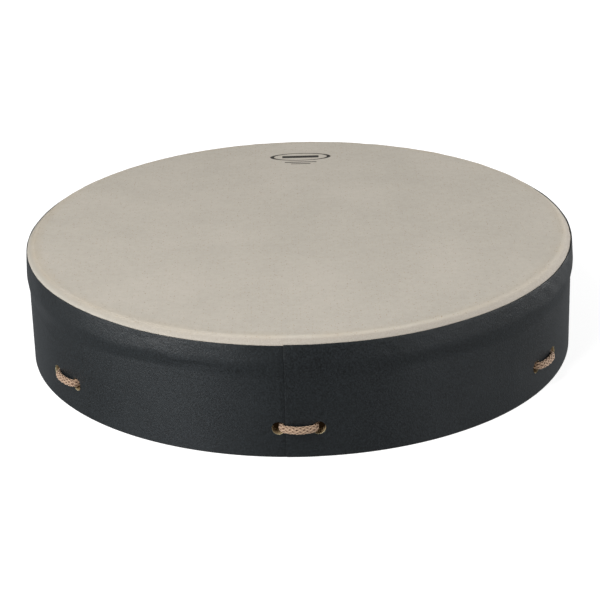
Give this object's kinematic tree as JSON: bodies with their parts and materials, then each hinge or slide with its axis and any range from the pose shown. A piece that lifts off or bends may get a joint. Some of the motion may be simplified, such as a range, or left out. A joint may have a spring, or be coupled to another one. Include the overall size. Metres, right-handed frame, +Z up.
{
  "type": "frame drum",
  "caption": "Shallow round hand drum with a single flat head, a wrapped hoop shell and a laced rope web with a wound hand ring inside its open back.",
  "frame": {"origin": "centre of the drum's open edge, on the surface that it stands on", "axes": "+Z up the drum's axis, through the head; -Y towards the front, where the cover's seam is; +X to the right seen from the front"},
  "size_m": [0.413, 0.4242, 0.0889],
  "materials": {
    "shell": "raw pressed wood fibre, matt olive tan",
    "cover": "charcoal coated fabric, fine grain, semi-matt",
    "head_face": "warm grey non-woven fibre with sparse brown flecks, matt",
    "head_film": "hazy polyester film",
    "band": "matt black strip",
    "ring": "drawn steel wire",
    "rope": "braided tan cord"
  },
  "bodies": {
    "root": {"shell": "shell", "cover": "cover", "head_face": "head_face", "head_film": "head_film", "collar_band": "band", "hand_ring": "ring", "rope_tail": "rope", "rope_bight_1": "rope", "rope_spoke_over_1": "rope", "rope_spoke_under_1": "rope", "rope_wrap_1": "rope", "rope_bight_2": "rope", "rope_spoke_over_2": "rope", "rope_spoke_under_2": "rope", "rope_wrap_2": "rope", "rope_bight_3": "rope", "rope_spoke_over_3": "rope", "rope_spoke_under_3": "rope", "rope_wrap_3": "rope", "rope_bight_4": "rope", "rope_spoke_over_4": "rope", "rope_spoke_under_4": "rope", "rope_wrap_4": "rope", "rope_bight_5": "rope", "rope_spoke_over_5": "rope", "rope_spoke_under_5": "rope", "rope_wrap_5": "rope", "rope_bight_6": "rope", "rope_spoke_over_6": "rope", "rope_spoke_under_6": "rope", "rope_wrap_6": "rope"}
  },
  "joints": []
}
